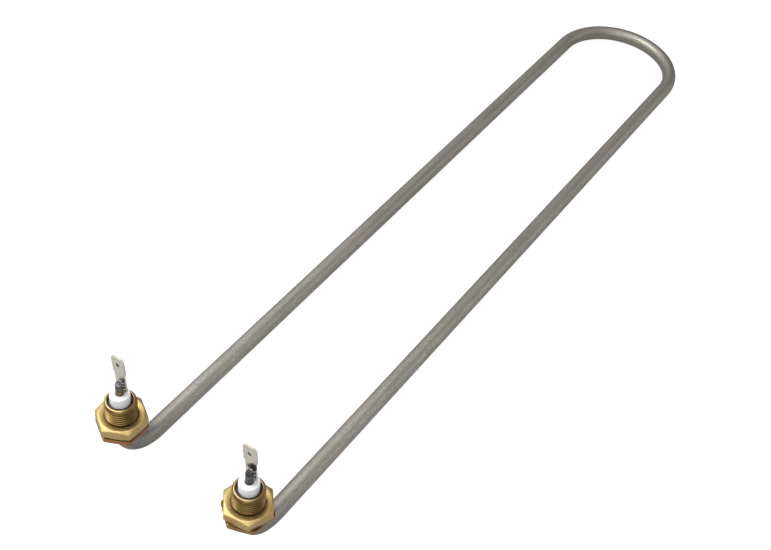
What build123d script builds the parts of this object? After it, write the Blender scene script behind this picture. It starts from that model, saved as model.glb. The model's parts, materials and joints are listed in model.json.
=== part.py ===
from build123d import *

import os
from dataclasses import dataclass
from math import acos, atan2, cos, hypot, pi, sin, sqrt

# Tubular heating element: a metal sheath bent into a long U that lies flat, with both ends turned
# up through threaded brass necks. Inside the sheath a resistance coil lies in pressed magnesia
# powder, between two terminal pins that leave through ceramic insulators.
#
# Millimetres. +Z is up, along the necks. +Y runs from the necks to the bend. X = 0 is the plane
# midway between the necks, Y = 0 is mid-length, and Z = 0 is the surface that the legs lie on.

# Sheath
SHEATH_DIAMETER = 8.0
SHEATH_WALL = 0.6
NECK_SPACING = 64.5  # between the two necks' axes
LENGTH = 424.0  # from the necks' axes to the outside of the bend
BEND_RADIUS = 33.5  # of the sheath's centreline in the U-bend
ELBOW_RADIUS = 19.5  # of the sheath's centreline where it turns up
STUB_LENGTH = 3.0  # straight sheath between the elbow and the flange

# Threaded bushing: hexagonal flange below, threaded neck above
FLANGE_ACROSS_FLATS = 19.0
FLANGE_THICKNESS = 3.0
FLANGE_CHAMFER = 0.5  # at the corners of the hexagon, along Z
NECK_DIAMETER = 13.16  # crest of the G 1/4 pipe thread
NECK_LENGTH = 14.0  # from the flange to the rim
NECK_CHAMFER = 0.75
THREAD_DEPTH = 0.86  # crest to root
BRAZE_GAP = 0.05  # radial, between sheath and bushing
COUNTERBORE_DIAMETER = 10.2
COUNTERBORE_DEPTH = 4.5

# Braze metal under the flange
BRAZE_LEG = 1.3  # height and width of the fillet's section

# Lock nut
NUT_ACROSS_FLATS = 19.0
NUT_HEIGHT = 4.8
NUT_CHAMFER = 0.7  # at the corners of the hexagon, along Z
NUT_SEAT_GAP = 0.2  # left between the flange and the nut
THREAD_CLEARANCE = 0.1  # radial, between the nut's bore and the thread's root
NUT_MOUTH_CHAMFER = 1.1  # a little wider than the thread's crest

# Ceramic insulator: body on the sheath's end, spigot inside it
CERAMIC_DIAMETER = 8.3
CERAMIC_PROUD = 4.2  # above the neck's rim
CERAMIC_EDGE = 0.7  # rounding of the top edge
SPIGOT_LENGTH = 3.0
SPIGOT_CLEARANCE = 0.1  # radial, inside the sheath
PIN_CLEARANCE = 0.1  # radial, around the pin

# Seals
END_SEAL_RECESS = 0.7  # below the neck's rim
MOISTURE_SEAL_LENGTH = 3.0

# Terminal pin
PIN_DIAMETER = 3.2
PIN_PROUD = 6.1  # above the insulator
PIN_CHAMFER = 0.2
PIN_FLAT_DEPTH = 0.2  # flat pressed on the pin where the tab is welded

# Push-on tab
TAB_THICKNESS = 0.8
TAB_WIDTH = 6.3
TAB_BLADE_LENGTH = 8.8
TAB_SHANK_WIDTH = 5.0
TAB_SHANK_LENGTH = 9.8
TAB_SHOULDER_SLOPE = 0.6  # drop of the shoulder from blade to shank
TAB_TIP_CUT = (0.9, 1.4)  # across and along the blade, at its tip corners
TAB_TIP_BEVEL = 0.2  # thinning of the tip's front and back edges
TAB_HOLE_DIAMETER = 1.8
TAB_HOLE_FROM_TIP = 4.1
TAB_OVERLAP = 5.6  # of the shank along the pin

# Weld metal in the corner between pin and tab
BEAD_DIAMETER = 2.0
BEAD_COUNT = 3
BEAD_PITCH = 1.8
BEAD_RISE = 0.5  # of the top bead's centre above the pin's top
BEAD_INSET = 0.2  # of the beads' centres inside the pin's side

# Heated part
COLD_LENGTH = 50.0  # from the neck's axis to the start of the coil
COIL_GRIP = 10.0  # length of pin inside the coil
COIL_CLEARANCE = 0.05  # radial, between pin and coil
COIL_WIRE = 0.5

# Sizes worked out from the ones above
SHEATH_RADIUS = SHEATH_DIAMETER / 2
SHEATH_BORE = SHEATH_RADIUS - SHEATH_WALL
PIN_RADIUS = PIN_DIAMETER / 2
NECK_RADIUS = NECK_DIAMETER / 2
THREAD_ROOT = NECK_RADIUS - THREAD_DEPTH
COUNTERBORE_RADIUS = COUNTERBORE_DIAMETER / 2
CERAMIC_RADIUS = CERAMIC_DIAMETER / 2
COIL_INNER = PIN_RADIUS + COIL_CLEARANCE
COIL_OUTER = COIL_INNER + COIL_WIRE

# Heights
AXIS_Z = SHEATH_RADIUS  # centreline of the legs
ELBOW_TOP_Z = AXIS_Z + ELBOW_RADIUS
FLANGE_Z = ELBOW_TOP_Z + STUB_LENGTH
SEAT_Z = FLANGE_Z + FLANGE_THICKNESS
NUT_Z = SEAT_Z + NUT_SEAT_GAP
NUT_TOP_Z = NUT_Z + NUT_HEIGHT
RIM_Z = SEAT_Z + NECK_LENGTH
SHEATH_END_Z = RIM_Z - COUNTERBORE_DEPTH
SPIGOT_Z = SHEATH_END_Z - SPIGOT_LENGTH
POWDER_END_Z = SPIGOT_Z - MOISTURE_SEAL_LENGTH
CERAMIC_TOP_Z = RIM_Z + CERAMIC_PROUD
PIN_TOP_Z = CERAMIC_TOP_Z + PIN_PROUD
TAB_Z = PIN_TOP_Z - TAB_OVERLAP

# Plan view: the bend's centre, and where the legs touch the bend on their way to the necks
NECK_X = NECK_SPACING / 2
CORNER_REACH = FLANGE_ACROSS_FLATS / sqrt(3)  # of the flange's corner behind the neck's axis
NECK_Y = (CORNER_REACH - LENGTH) / 2
BEND_Y = NECK_Y + LENGTH - SHEATH_RADIUS - BEND_RADIUS
NECK_TO_BEND = hypot(NECK_X, BEND_Y - NECK_Y)
TOUCH_ANGLE = acos(BEND_RADIUS / NECK_TO_BEND) - atan2(BEND_Y - NECK_Y, NECK_X)
LEG_LENGTH = sqrt(NECK_TO_BEND**2 - BEND_RADIUS**2)


@dataclass
class End:
    """One end of the element. The two differ only in how their pieces were turned when fitted."""

    name: str
    side: int  # -1 at -X, +1 at +X
    flange_turn: float  # degrees about the neck's axis, of a corner of the hexagon
    nut_turn: float
    tab_turn: float  # degrees about the pin
    tab_lean: float  # degrees in the tab's own plane, top towards -X
    tab_shift: float  # across the pin

    def place(self, z=0.0, turn=0.0):
        """Location on this neck's axis."""
        return Location((self.side * NECK_X, NECK_Y, z), (0, 0, turn))

    def along_leg(self, distance):
        """Point on the leg's centreline, a distance from the neck's axis."""
        direction = (self.side * -sin(TOUCH_ANGLE), cos(TOUCH_ANGLE))
        return Vector(
            self.side * NECK_X + direction[0] * distance,
            NECK_Y + direction[1] * distance,
            AXIS_Z,
        )


LEFT = End("left", -1, flange_turn=90, nut_turn=89, tab_turn=0, tab_lean=5, tab_shift=-0.25)
RIGHT = End("right", +1, flange_turn=82, nut_turn=70, tab_turn=1, tab_lean=5, tab_shift=-0.35)
ENDS = (LEFT, RIGHT)


# Centrelines


def rise(end, top_z):
    """Edges down the neck's axis from top_z and round the elbow to the leg."""
    corner = end.along_leg(0)
    top = Vector(corner.X, corner.Y, top_z)
    elbow_top = Vector(corner.X, corner.Y, ELBOW_TOP_Z)
    leg_start = end.along_leg(ELBOW_RADIUS)
    inset = ELBOW_RADIUS * (1 - cos(pi / 4))
    midway = end.along_leg(inset) + Vector(0, 0, inset)
    return [Line(top, elbow_top), ThreePointArc(elbow_top, midway, leg_start)]


def run(start):
    """Edges from a distance along the right leg, round the bend, to the same place on the left."""
    touch = {end.name: end.along_leg(LEG_LENGTH) for end in ENDS}
    crown = (0, BEND_Y + BEND_RADIUS, AXIS_Z)
    return [
        Line(RIGHT.along_leg(start), touch["right"]),
        ThreePointArc(touch["right"], crown, touch["left"]),
        Line(touch["left"], LEFT.along_leg(start)),
    ]


def rod(edges, radius):
    """Round bar along tangent edges, given in order from one end."""
    path = Wire(edges)
    start = Plane(origin=edges[0] @ 0, z_dir=edges[0] % 0)
    return sweep(start * Circle(radius), path=path)


def full_path(top_z):
    """Edges of the whole U, from one upturned end to the other."""
    return rise(RIGHT, top_z) + run(ELBOW_RADIUS) + list(reversed(rise(LEFT, top_z)))


# Pieces of the heated part


def sheath_tube():
    path = full_path(SHEATH_END_Z)
    return rod(path, SHEATH_RADIUS) - rod(path, SHEATH_BORE)


def resistance_coil():
    """The close winding as a hollow bar: outside and inside of its turns."""
    path = run(COLD_LENGTH)
    return rod(path, COIL_OUTER) - rod(path, COIL_INNER)


def magnesia_core():
    return rod(run(COLD_LENGTH + COIL_GRIP), COIL_INNER)


def terminal_pin(end):
    """Long pin: from its free end above the insulator, down the elbow, into the coil."""
    pin_end = Line(end.along_leg(ELBOW_RADIUS), end.along_leg(COLD_LENGTH + COIL_GRIP))
    pin = rod(rise(end, PIN_TOP_Z) + [pin_end], PIN_RADIUS)
    top_edge = pin.edges().group_by(Axis.Z)[-1]
    pin = chamfer(top_edge, PIN_CHAMFER)
    return pin - tab_frame(end) * Pos(Z=TAB_Z) * press_die()


def magnesia_fill(pins):
    """Powder between the sheath and what lies in it, from one moisture seal to the other."""
    powder = rod(full_path(POWDER_END_Z), SHEATH_BORE) - rod(run(COLD_LENGTH), COIL_OUTER)
    for pin in pins:
        powder -= pin
    return powder


# Pieces of the ends


def ring(outer, inner, bottom, top):
    """Plain ring about Z."""
    height = top - bottom
    return Pos(Z=bottom) * extrude(Circle(outer) - Circle(inner), height)


def hexagon(across_flats, bottom, top):
    return Pos(Z=bottom) * extrude(RegularPolygon(across_flats / 2, 6, major_radius=False), top - bottom)


def corner_cone(across_flats, drop, bottom, top):
    """Turned blank that leaves a hexagon's corners chamfered by drop at its bottom and top."""
    corner = across_flats / sqrt(3)
    rim = across_flats / 2
    profile = Polyline(
        (0, bottom),
        (rim, bottom),
        (corner, bottom + drop),
        (corner, top - drop),
        (rim, top),
        (0, top),
        close=True,
    )
    return revolve(Plane.XZ * make_face(profile), Axis.Z)


def threaded_bushing(end):
    """Flange and neck in one piece. The neck is at the thread's root over the nut's height, and at
    its crest above it."""
    flange = hexagon(FLANGE_ACROSS_FLATS, FLANGE_Z, SEAT_Z)
    flange &= corner_cone(FLANGE_ACROSS_FLATS, FLANGE_CHAMFER, FLANGE_Z, SEAT_Z)
    profile = Polyline(
        (0, SEAT_Z),
        (THREAD_ROOT, SEAT_Z),
        (THREAD_ROOT, NUT_TOP_Z),
        (NECK_RADIUS, NUT_TOP_Z),
        (NECK_RADIUS, RIM_Z - NECK_CHAMFER),
        (NECK_RADIUS - NECK_CHAMFER, RIM_Z),
        (0, RIM_Z),
        close=True,
    )
    neck = revolve(Plane.XZ * make_face(profile), Axis.Z)
    bore = Pos(Z=FLANGE_Z) * extrude(Circle(SHEATH_RADIUS + BRAZE_GAP), RIM_Z - FLANGE_Z)
    counterbore = Pos(Z=SHEATH_END_Z) * extrude(Circle(COUNTERBORE_RADIUS), COUNTERBORE_DEPTH)
    return end.place(turn=end.flange_turn) * (flange + neck - bore - counterbore)


def hex_nut(end):
    nut = hexagon(NUT_ACROSS_FLATS, NUT_Z, NUT_TOP_Z)
    nut &= corner_cone(NUT_ACROSS_FLATS, NUT_CHAMFER, NUT_Z, NUT_TOP_Z)
    bore_radius = THREAD_ROOT + THREAD_CLEARANCE
    nut -= Pos(Z=NUT_Z) * extrude(Circle(bore_radius), NUT_HEIGHT)
    mouths = nut.edges().filter_by(GeomType.CIRCLE).filter_by(lambda e: e.radius < bore_radius + 0.01)
    nut = chamfer(mouths, NUT_MOUTH_CHAMFER)
    return end.place(turn=end.nut_turn) * nut


def braze_ring(end):
    """Hollow fillet of braze metal in the corner between the sheath and the flange."""
    outside = SHEATH_RADIUS + BRAZE_LEG
    profile = make_face(
        [
            Line((SHEATH_RADIUS, FLANGE_Z), (outside, FLANGE_Z)),
            RadiusArc((outside, FLANGE_Z), (SHEATH_RADIUS, FLANGE_Z - BRAZE_LEG), BRAZE_LEG * 1.2),
            Line((SHEATH_RADIUS, FLANGE_Z - BRAZE_LEG), (SHEATH_RADIUS, FLANGE_Z)),
        ]
    )
    return end.place() * revolve(Plane.XZ * profile, Axis.Z)


def ceramic_insulator(end):
    body = Pos(Z=SHEATH_END_Z) * extrude(Circle(CERAMIC_RADIUS), CERAMIC_TOP_Z - SHEATH_END_Z)
    body = fillet(body.edges().group_by(Axis.Z)[-1], CERAMIC_EDGE)
    spigot = Pos(Z=SPIGOT_Z) * extrude(Circle(SHEATH_BORE - SPIGOT_CLEARANCE), SPIGOT_LENGTH)
    hole = Pos(Z=SPIGOT_Z) * extrude(Circle(PIN_RADIUS + PIN_CLEARANCE), CERAMIC_TOP_Z - SPIGOT_Z)
    return end.place() * (body + spigot - hole)


def end_seal(end):
    return end.place() * ring(
        COUNTERBORE_RADIUS, CERAMIC_RADIUS, SHEATH_END_Z, RIM_Z - END_SEAL_RECESS
    )


def moisture_seal(end):
    return end.place() * ring(SHEATH_BORE, PIN_RADIUS, POWDER_END_Z, SPIGOT_Z)


def tab_frame(end):
    """Frame of a tab: origin on the pin's axis at the middle of the weld, X across the tab, Y out
    of its back, Z along it."""
    weld_z = PIN_TOP_Z - TAB_OVERLAP / 2
    turned = end.place(weld_z, end.tab_turn)
    return turned * Location((0, 0, 0), (0, -end.tab_lean, 0)) * Pos(Z=-weld_z)


def press_die():
    """Block that leaves the flat on the pin's back, from the foot of the tab up."""
    return Pos(Y=PIN_RADIUS - PIN_FLAT_DEPTH) * Box(
        PIN_DIAMETER,
        PIN_DIAMETER,
        TAB_OVERLAP * 2,
        align=(Align.CENTER, Align.MIN, Align.MIN),
    )


def spade_tab(end):
    half_blade = TAB_WIDTH / 2
    half_shank = TAB_SHANK_WIDTH / 2
    shoulder = TAB_SHANK_LENGTH
    tip = shoulder + TAB_BLADE_LENGTH
    right_side = [
        (half_shank, 0),
        (half_shank, shoulder - TAB_SHOULDER_SLOPE),
        (half_blade, shoulder),
        (half_blade, tip - TAB_TIP_CUT[1]),
        (half_blade - TAB_TIP_CUT[0], tip),
    ]
    left_side = [(-x, z) for x, z in reversed(right_side)]
    outline = make_face(Polyline(*right_side, *left_side, close=True))
    outline -= Pos(0, tip - TAB_HOLE_FROM_TIP) * Circle(TAB_HOLE_DIAMETER / 2)
    tab = extrude(Plane.XZ * outline, -TAB_THICKNESS)
    tip_edges = tab.faces().sort_by(Axis.Z)[-1].edges().filter_by(Axis.X)
    tab = chamfer(tip_edges, TAB_TIP_BEVEL)
    front = PIN_RADIUS - PIN_FLAT_DEPTH
    return tab_frame(end) * Pos(end.tab_shift, front, TAB_Z) * tab


def tab_weld(end, pin, tab):
    """Column of weld beads in the corner between pin and tab, on the +X side."""
    side = PIN_RADIUS - BEAD_INSET
    back = PIN_RADIUS - PIN_FLAT_DEPTH - BEAD_DIAMETER / 3
    beads = Part()
    for index in range(BEAD_COUNT):
        z = PIN_TOP_Z + BEAD_RISE - index * BEAD_PITCH
        beads += Pos(side, back, z) * Sphere(BEAD_DIAMETER / 2)
    return tab_frame(end) * beads - pin - tab


def build():
    """Every node of the element, by name."""
    pins = {end.name: terminal_pin(end) for end in ENDS}
    nodes = {
        "sheath_tube": sheath_tube(),
        "resistance_coil": resistance_coil(),
        "magnesia_core": magnesia_core(),
        "magnesia_fill": magnesia_fill(pins.values()),
    }
    for end in ENDS:
        pin = pins[end.name]
        tab = spade_tab(end)
        pieces = {
            "terminal_pin": pin,
            "moisture_seal": moisture_seal(end),
            "ceramic_insulator": ceramic_insulator(end),
            "end_seal": end_seal(end),
            "threaded_bushing": threaded_bushing(end),
            "hex_nut": hex_nut(end),
            "braze_ring": braze_ring(end),
            "spade_tab": tab,
            "tab_weld": tab_weld(end, pin, tab),
        }
        for name, piece in pieces.items():
            nodes[f"{name}_{end.name}"] = piece
    return nodes


os.makedirs("parts", exist_ok=True)
for node_name, solid in build().items():
    export_step(solid, f"parts/{node_name}.step")
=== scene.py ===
import json
from math import acos, atan2, cos, degrees, hypot, pi, radians, sin, sqrt, tan

import bmesh
import bpy
import numpy as np
from mathutils import Matrix, Vector, noise

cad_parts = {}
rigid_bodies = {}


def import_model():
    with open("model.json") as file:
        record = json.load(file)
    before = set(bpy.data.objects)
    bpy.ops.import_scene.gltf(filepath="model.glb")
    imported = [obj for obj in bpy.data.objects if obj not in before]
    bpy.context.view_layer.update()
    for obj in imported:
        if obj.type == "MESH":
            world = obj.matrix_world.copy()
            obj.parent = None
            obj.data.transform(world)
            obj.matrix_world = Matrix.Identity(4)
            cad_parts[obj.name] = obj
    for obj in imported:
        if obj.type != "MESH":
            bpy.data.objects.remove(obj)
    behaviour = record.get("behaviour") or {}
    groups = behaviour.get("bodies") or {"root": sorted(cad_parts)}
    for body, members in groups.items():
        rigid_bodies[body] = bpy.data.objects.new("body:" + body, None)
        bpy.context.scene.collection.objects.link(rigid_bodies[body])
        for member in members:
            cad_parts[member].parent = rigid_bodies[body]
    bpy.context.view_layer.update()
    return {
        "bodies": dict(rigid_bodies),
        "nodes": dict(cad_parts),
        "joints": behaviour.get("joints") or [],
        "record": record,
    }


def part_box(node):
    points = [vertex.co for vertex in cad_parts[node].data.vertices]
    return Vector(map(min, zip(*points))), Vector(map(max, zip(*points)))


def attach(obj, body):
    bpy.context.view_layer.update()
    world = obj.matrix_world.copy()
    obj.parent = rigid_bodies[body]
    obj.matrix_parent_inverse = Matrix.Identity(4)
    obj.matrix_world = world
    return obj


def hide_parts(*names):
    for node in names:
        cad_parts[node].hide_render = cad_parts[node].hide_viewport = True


# Tubular heating element: the finished surfaces of every piece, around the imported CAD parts.
# Metres, in the part's own frame: legs along Y, necks along Z, floor at Z = 0.

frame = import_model()

MM = 0.001
ENDS = ("left", "right")

# Sizes that the frame's boxes do not give
SHEATH_DIAMETER = 8.0 * MM
SHEATH_WALL = 0.6 * MM
ELBOW_RADIUS = 19.5 * MM
HEX_HALF_FLATS = 9.5 * MM
FLANGE_THICKNESS = 3.0 * MM
RIM_CHAMFER = 0.75 * MM
RIM_CHAMFER_HEIGHT = 1.2 * MM
NECK_RADIUS = 6.58 * MM
THREAD_DEPTH = 0.86 * MM
THREAD_PITCH = 1.337 * MM
THREAD_CLEARANCE = 0.1 * MM
THREAD_UNDER_NUT = 0.4 * MM  # how far the drawn thread goes on inside the nut
NUT_MOUTH_CHAMFER = 0.98 * MM
BRAZE_GAP = 0.05 * MM  # between the sheath and the flange's bore
BRAZE_BITE = 0.05 * MM  # of the fillet into the sheath
BRAZE_HOLLOW = 1.8  # power of the fillet's curve
FACE_GAP = 0.01 * MM  # between the fillet and the flange
CERAMIC_CLEARANCE = 0.1 * MM
POTTING_DIP = 0.3 * MM
PIN_RADIUS = 1.6 * MM
PIN_FLAT_DEPTH = 0.2 * MM
PIN_BURR = 0.035  # share by which the pin's top is wider
PIN_TOP_SLOPE = 0.22
TAB_THICKNESS = 0.8 * MM
TAB_WIDTH = 6.3 * MM
TAB_BLADE_LENGTH = 8.8 * MM
TAB_SHANK_WIDTH = 5.0 * MM
TAB_SHANK_LENGTH = 9.8 * MM
TAB_SHOULDER_SLOPE = 0.6 * MM
TAB_TIP_CUT = (0.9 * MM, 1.4 * MM)
TAB_EDGE = 0.11 * MM
TAB_HOLE_RADIUS = 0.9 * MM
TAB_HOLE_FROM_TIP = 4.1 * MM
TAB_OVERLAP = 5.6 * MM
BEAD_COUNT = 3
BEAD_PITCH = 1.8 * MM
BEAD_RISE = 0.5 * MM  # of the first bead above the pin's top
COLD_LENGTH = 50.0 * MM
COIL_GRIP = 10.0 * MM
WIRE_DIAMETER = 0.5 * MM
COIL_PITCH = 1.0 * MM

# In each tab's own frame: the height of its foot and its hole, and its front, which lies on the pin
TAB_FOOT_Z = -TAB_OVERLAP / 2
TAB_HOLE_Z = TAB_FOOT_Z + TAB_SHANK_LENGTH + TAB_BLADE_LENGTH - TAB_HOLE_FROM_TIP
TAB_FRONT_Y = PIN_RADIUS - PIN_FLAT_DEPTH

# Cones that turn off a hexagon's corners, at its bottom and its top: radius at the face, and degrees
FLANGE_CONES = ((9.3 * MM, 18), (9.4 * MM, 18))
NUT_CONES = ((9.3 * MM, 20), (9.05 * MM, 26))

# The pin's eased top edge: share of its radius, and depth below its top
PIN_TOP_EDGE = ((0.35, 0.0), (0.8, 0.0), (0.94, 0.05 * MM), (0.99, 0.13 * MM))

# Shares by which bending narrowed the tube
BEND_SQUEEZE = 0.035
ELBOW_SQUEEZE = 0.02

# How fine the meshes are
LEG_STEP = 4 * MM
TUBE_SIDES = 48
TURNED_ANGLES = np.arange(96) * 2 * pi / 96
THREAD_STEPS_PER_TURN = 16
TAB_HOLE_SIDES = 28
WIRE_SIDES = 5
COIL_STEPS_PER_TURN = 9

# How the pieces of each end were turned when it was put together, in degrees and metres
NUT_TURN = {"left": 89, "right": 70}
FLANGE_TURN = {"left": 90, "right": 82}
TAB_TURN = {"left": 0, "right": 1}
TAB_LEAN = 5
TAB_SHIFT = {"left": -0.25 * MM, "right": -0.35 * MM}

# What makes the beads of each weld differ
WELD_SEED = {"left": 5, "right": 9}

# Where the thread's crest is highest above the lock nut on the side that faces the camera
THREAD_FACING = {"left": -43, "right": -53}
THREAD_CREST_Z = 41.8 * MM
FULL_THREAD_Z = 41.2 * MM  # above this the thread is only started

# Colours that differ from end to end, and the direction of each thread's side turned from the light, which
# has painted shade
NECK_SHADES = {
    "left": {"brass": (0.42, 0.28, 0.11), "flange": (0.44, 0.21, 0.07), "flush": (0.27, 0.12, 0.08)},
    "right": {"brass": (0.36, 0.24, 0.09), "flange": (0.36, 0.24, 0.09), "flush": (0.29, 0.17, 0.12)},
}
PIN_SHADES = {
    "left": {"steel": (0.15, 0.135, 0.12), "top": (0.055, 0.058, 0.07), "foot": (0.17, 0.13, 0.04)},
    "right": {"steel": (0.10, 0.10, 0.10), "top": (0.015, 0.015, 0.015), "foot": (0.06, 0.06, 0.062)},
}
SHADED_SIDE = {"left": (0.98, 0.2, 0), "right": (0.65, -0.76, 0)}

# Where the welding scorched each tab, in its own frame: (across, up, size of the spot)
SCORCHES = {
    "left": ((0.1 * MM, 3.0 * MM, 0.9 * MM), (1.5 * MM, 4.6 * MM, 0.7 * MM)),
    "right": ((0.2 * MM, 4.0 * MM, 1.9 * MM), (1.3 * MM, 5.2 * MM, 1.9 * MM)),
}

# The camera, in degrees, metres and millimetres of lens and sensor
CAMERA_AZIMUTH = 28.22
CAMERA_ELEVATION = 46.63
CAMERA_ROLL = 8.87
CAMERA_DISTANCE = 583.85 * MM
CAMERA_TARGET = Vector((-7.9, -51.06, 4.0)) * MM
CAMERA_LENS = 56.02
SENSOR_WIDTH = 36.0

# The floor, the surroundings and the lamps: (place, width, power)
FLOOR_HALF = 6.0
FLOOR_GREY = 0.35
FLOOR_GLOW = 0.85
WHITE_IN_METAL = 0.2  # share of plain white that the part reflects
BRIGHT_SIDE = (-0.5, -0.35, 0.8)
LAMPS = {
    "key": ((-0.70, -0.32, 1.12), 0.8, 10.5),
    "top": ((-0.1, -0.2, 1.3), 0.2, 1.8),
    "edge": ((1.0, 0.75, 0.5), 1.0, 2.6),
    "fill": ((0.55, -1.05, 0.85), 1.0, 5.5),
}


# ---------------- where things are


class Neck:
    """The heights and the axis of one end, read from the frame's boxes."""

    def __init__(self, end):
        self.end = end
        self.side = -1 if end == "left" else 1
        low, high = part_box(f"ceramic_insulator_{end}")
        self.x, self.y = (low.x + high.x) / 2, (low.y + high.y) / 2
        self.ceramic_radius = (high.x - low.x) / 2
        self.spigot_z, self.ceramic_top = low.z, high.z
        low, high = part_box(f"threaded_bushing_{end}")
        self.flange_z, self.rim_z = low.z, high.z
        self.seat_z = self.flange_z + FLANGE_THICKNESS
        low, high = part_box(f"hex_nut_{end}")
        self.nut_z, self.nut_top = low.z, high.z
        low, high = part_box(f"end_seal_{end}")
        self.sheath_end, self.seal_top = low.z, high.z
        self.counterbore = (high.x - low.x) / 2
        low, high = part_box(f"braze_ring_{end}")
        self.braze_z, self.braze_radius = low.z, (high.x - low.x) / 2
        self.pin_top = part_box(f"terminal_pin_{end}")[1].z

    def tab_frame(self):
        """Origin on the pin's axis at the middle of the weld, X across the tab, Y out of its back."""
        place = Matrix.Translation((self.x, self.y, self.pin_top - TAB_OVERLAP / 2))
        turn = Matrix.Rotation(radians(TAB_TURN[self.end]), 4, "Z")
        lean = Matrix.Rotation(radians(-TAB_LEAN), 4, "Y")
        return place @ turn @ lean


NECKS = {end: Neck(end) for end in ENDS}


class Route:
    """The sheath's centreline: down one neck, round its elbow, along the legs and the bend, and up
    the other neck."""

    def __init__(self):
        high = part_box("sheath_tube")[1]
        self.neck_x, self.neck_y = NECKS["right"].x, NECKS["right"].y
        self.axis_z = SHEATH_DIAMETER / 2
        self.bend = high.x - SHEATH_DIAMETER / 2
        self.bend_y = high.y - SHEATH_DIAMETER / 2 - self.bend
        reach = hypot(self.neck_x, self.bend_y - self.neck_y)
        self.touch = acos(self.bend / reach) - atan2(self.bend_y - self.neck_y, self.neck_x)
        self.leg = sqrt(reach**2 - self.bend**2)

    def on_leg(self, side, distance):
        """The point on a leg's line at a distance from the neck's axis."""
        x = side * (self.neck_x - sin(self.touch) * distance)
        return Vector((x, self.neck_y + cos(self.touch) * distance, self.axis_z))

    def elbow(self, side, step):
        """Points from the top of the elbow to the leg."""
        count = round(90 / step)
        points = []
        for index in range(count + 1):
            angle = pi / 2 * index / count
            point = self.on_leg(side, ELBOW_RADIUS * (1 - cos(angle)))
            point.z = self.axis_z + ELBOW_RADIUS * (1 - sin(angle))
            points.append(point)
        return points

    def leg_points(self, side, start, step):
        """Points along a leg, from a distance to where it meets the bend, both included."""
        count = max(1, round((self.leg - start) / step))
        return [self.on_leg(side, start + (self.leg - start) * i / count) for i in range(count + 1)]

    def bend_points(self, step):
        """Points round the bend, between its two ends, from the right leg to the left."""
        sweep = pi - 2 * self.touch
        count = round(degrees(sweep) / step)
        points = []
        for index in range(1, count):
            angle = self.touch + sweep * index / count
            x, y = self.bend * cos(angle), self.bend_y + self.bend * sin(angle)
            points.append(Vector((x, y, self.axis_z)))
        return points

    def run(self, start, leg_step, bend_step):
        """From a distance along the right leg, round the bend, to the same place on the left."""
        right = self.leg_points(1, start, leg_step)
        left = self.leg_points(-1, start, leg_step)
        return right + self.bend_points(bend_step) + left[::-1]

    def rise(self, side, top_z, stub_step, bend_step):
        """From a height on the neck's axis down to the start of the elbow's arc, and round it."""
        elbow = self.elbow(side, bend_step)
        height = top_z - elbow[0].z
        count = max(1, round(height / stub_step))
        stub = [elbow[0] + Vector((0, 0, height * (1 - i / count))) for i in range(count)]
        return stub + elbow

    def whole(self, top_z, leg_step, bend_step):
        """From a height in the right neck to the same height in the left."""
        right = self.rise(1, top_z, leg_step, bend_step)
        left = self.rise(-1, top_z, leg_step, bend_step)
        return right[:-1] + self.run(ELBOW_RADIUS, leg_step, bend_step) + left[::-1][1:]


ROUTE = Route()


# ---------------- mesh building


def smoothstep(low, high, value):
    t = np.clip((value - low) / (high - low), 0, 1)
    return t * t * (3 - 2 * t)


def new_object(name, data):
    """A new object in the scene."""
    obj = bpy.data.objects.new(name, data)
    bpy.context.scene.collection.objects.link(obj)
    return obj


def smooth_object(name, mesh, sharp_angle):
    """A new object, smooth but for edges sharper than an angle in degrees."""
    mesh.update()
    for polygon in mesh.polygons:
        polygon.use_smooth = True
    mesh.set_sharp_from_angle(angle=radians(sharp_angle))
    return new_object(name, mesh)


def grid_object(name, rows, closed=False, capped=False, sharp_angle=50):
    """A mesh from rows of points, each a ring. closed joins the last row to the first, and capped
    fills the first and last rows."""
    row_count, columns = rows.shape[:2]
    faces = []
    for row in range(row_count if closed else row_count - 1):
        this, other = row * columns, (row + 1) % row_count * columns
        for column in range(columns):
            following = (column + 1) % columns
            faces.append((this + column, this + following, other + following, other + column))
    if capped:
        faces.append(tuple(range(columns - 1, -1, -1)))
        first = (row_count - 1) * columns
        faces.append(tuple(range(first, first + columns)))
    mesh = bpy.data.meshes.new(name)
    mesh.from_pydata(rows.reshape(-1, 3).tolist(), [], faces)
    work = bmesh.new()
    work.from_mesh(mesh)
    bmesh.ops.recalc_face_normals(work, faces=work.faces)
    work.to_mesh(mesh)
    work.free()
    return smooth_object(name, mesh, sharp_angle)


def lathe_rows(profile, angles):
    """Rows for a turned shape. Each profile point is (radius, z), and either may be an array with
    one value for each angle."""
    rows = []
    for radius, z in profile:
        around = radius * np.cos(angles), radius * np.sin(angles), z
        rows.append(np.stack(np.broadcast_arrays(*around), axis=1))
    return np.array(rows)


def moved(rows, neck, turn=0.0):
    """The same rows, turned about Z by degrees and set on a neck's axis."""
    a = radians(turn)
    out = np.array(rows)
    out[..., 0] = rows[..., 0] * cos(a) - rows[..., 1] * sin(a) + neck.x
    out[..., 1] = rows[..., 0] * sin(a) + rows[..., 1] * cos(a) + neck.y
    return out


def rounded(corners, reach, steps=3):
    """The closed outline through the corners, each eased by a curve that starts at a reach from it.
    The reach is one number, or one for each corner."""
    points = [np.array(corner, float) for corner in corners]
    reaches = np.broadcast_to(reach, len(points))
    outline = []
    for index, corner in enumerate(points):
        to_last, to_next = points[index - 1] - corner, points[(index + 1) % len(points)] - corner
        limit = 0.49 * min(np.linalg.norm(to_last), np.linalg.norm(to_next))
        used = min(reaches[index], limit)
        start = corner + to_last / np.linalg.norm(to_last) * used
        end = corner + to_next / np.linalg.norm(to_next) * used
        for t in np.linspace(0, 1, steps + 1):
            outline.append(tuple((1 - t) ** 2 * start + 2 * t * (1 - t) * corner + t**2 * end))
    return outline


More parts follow.
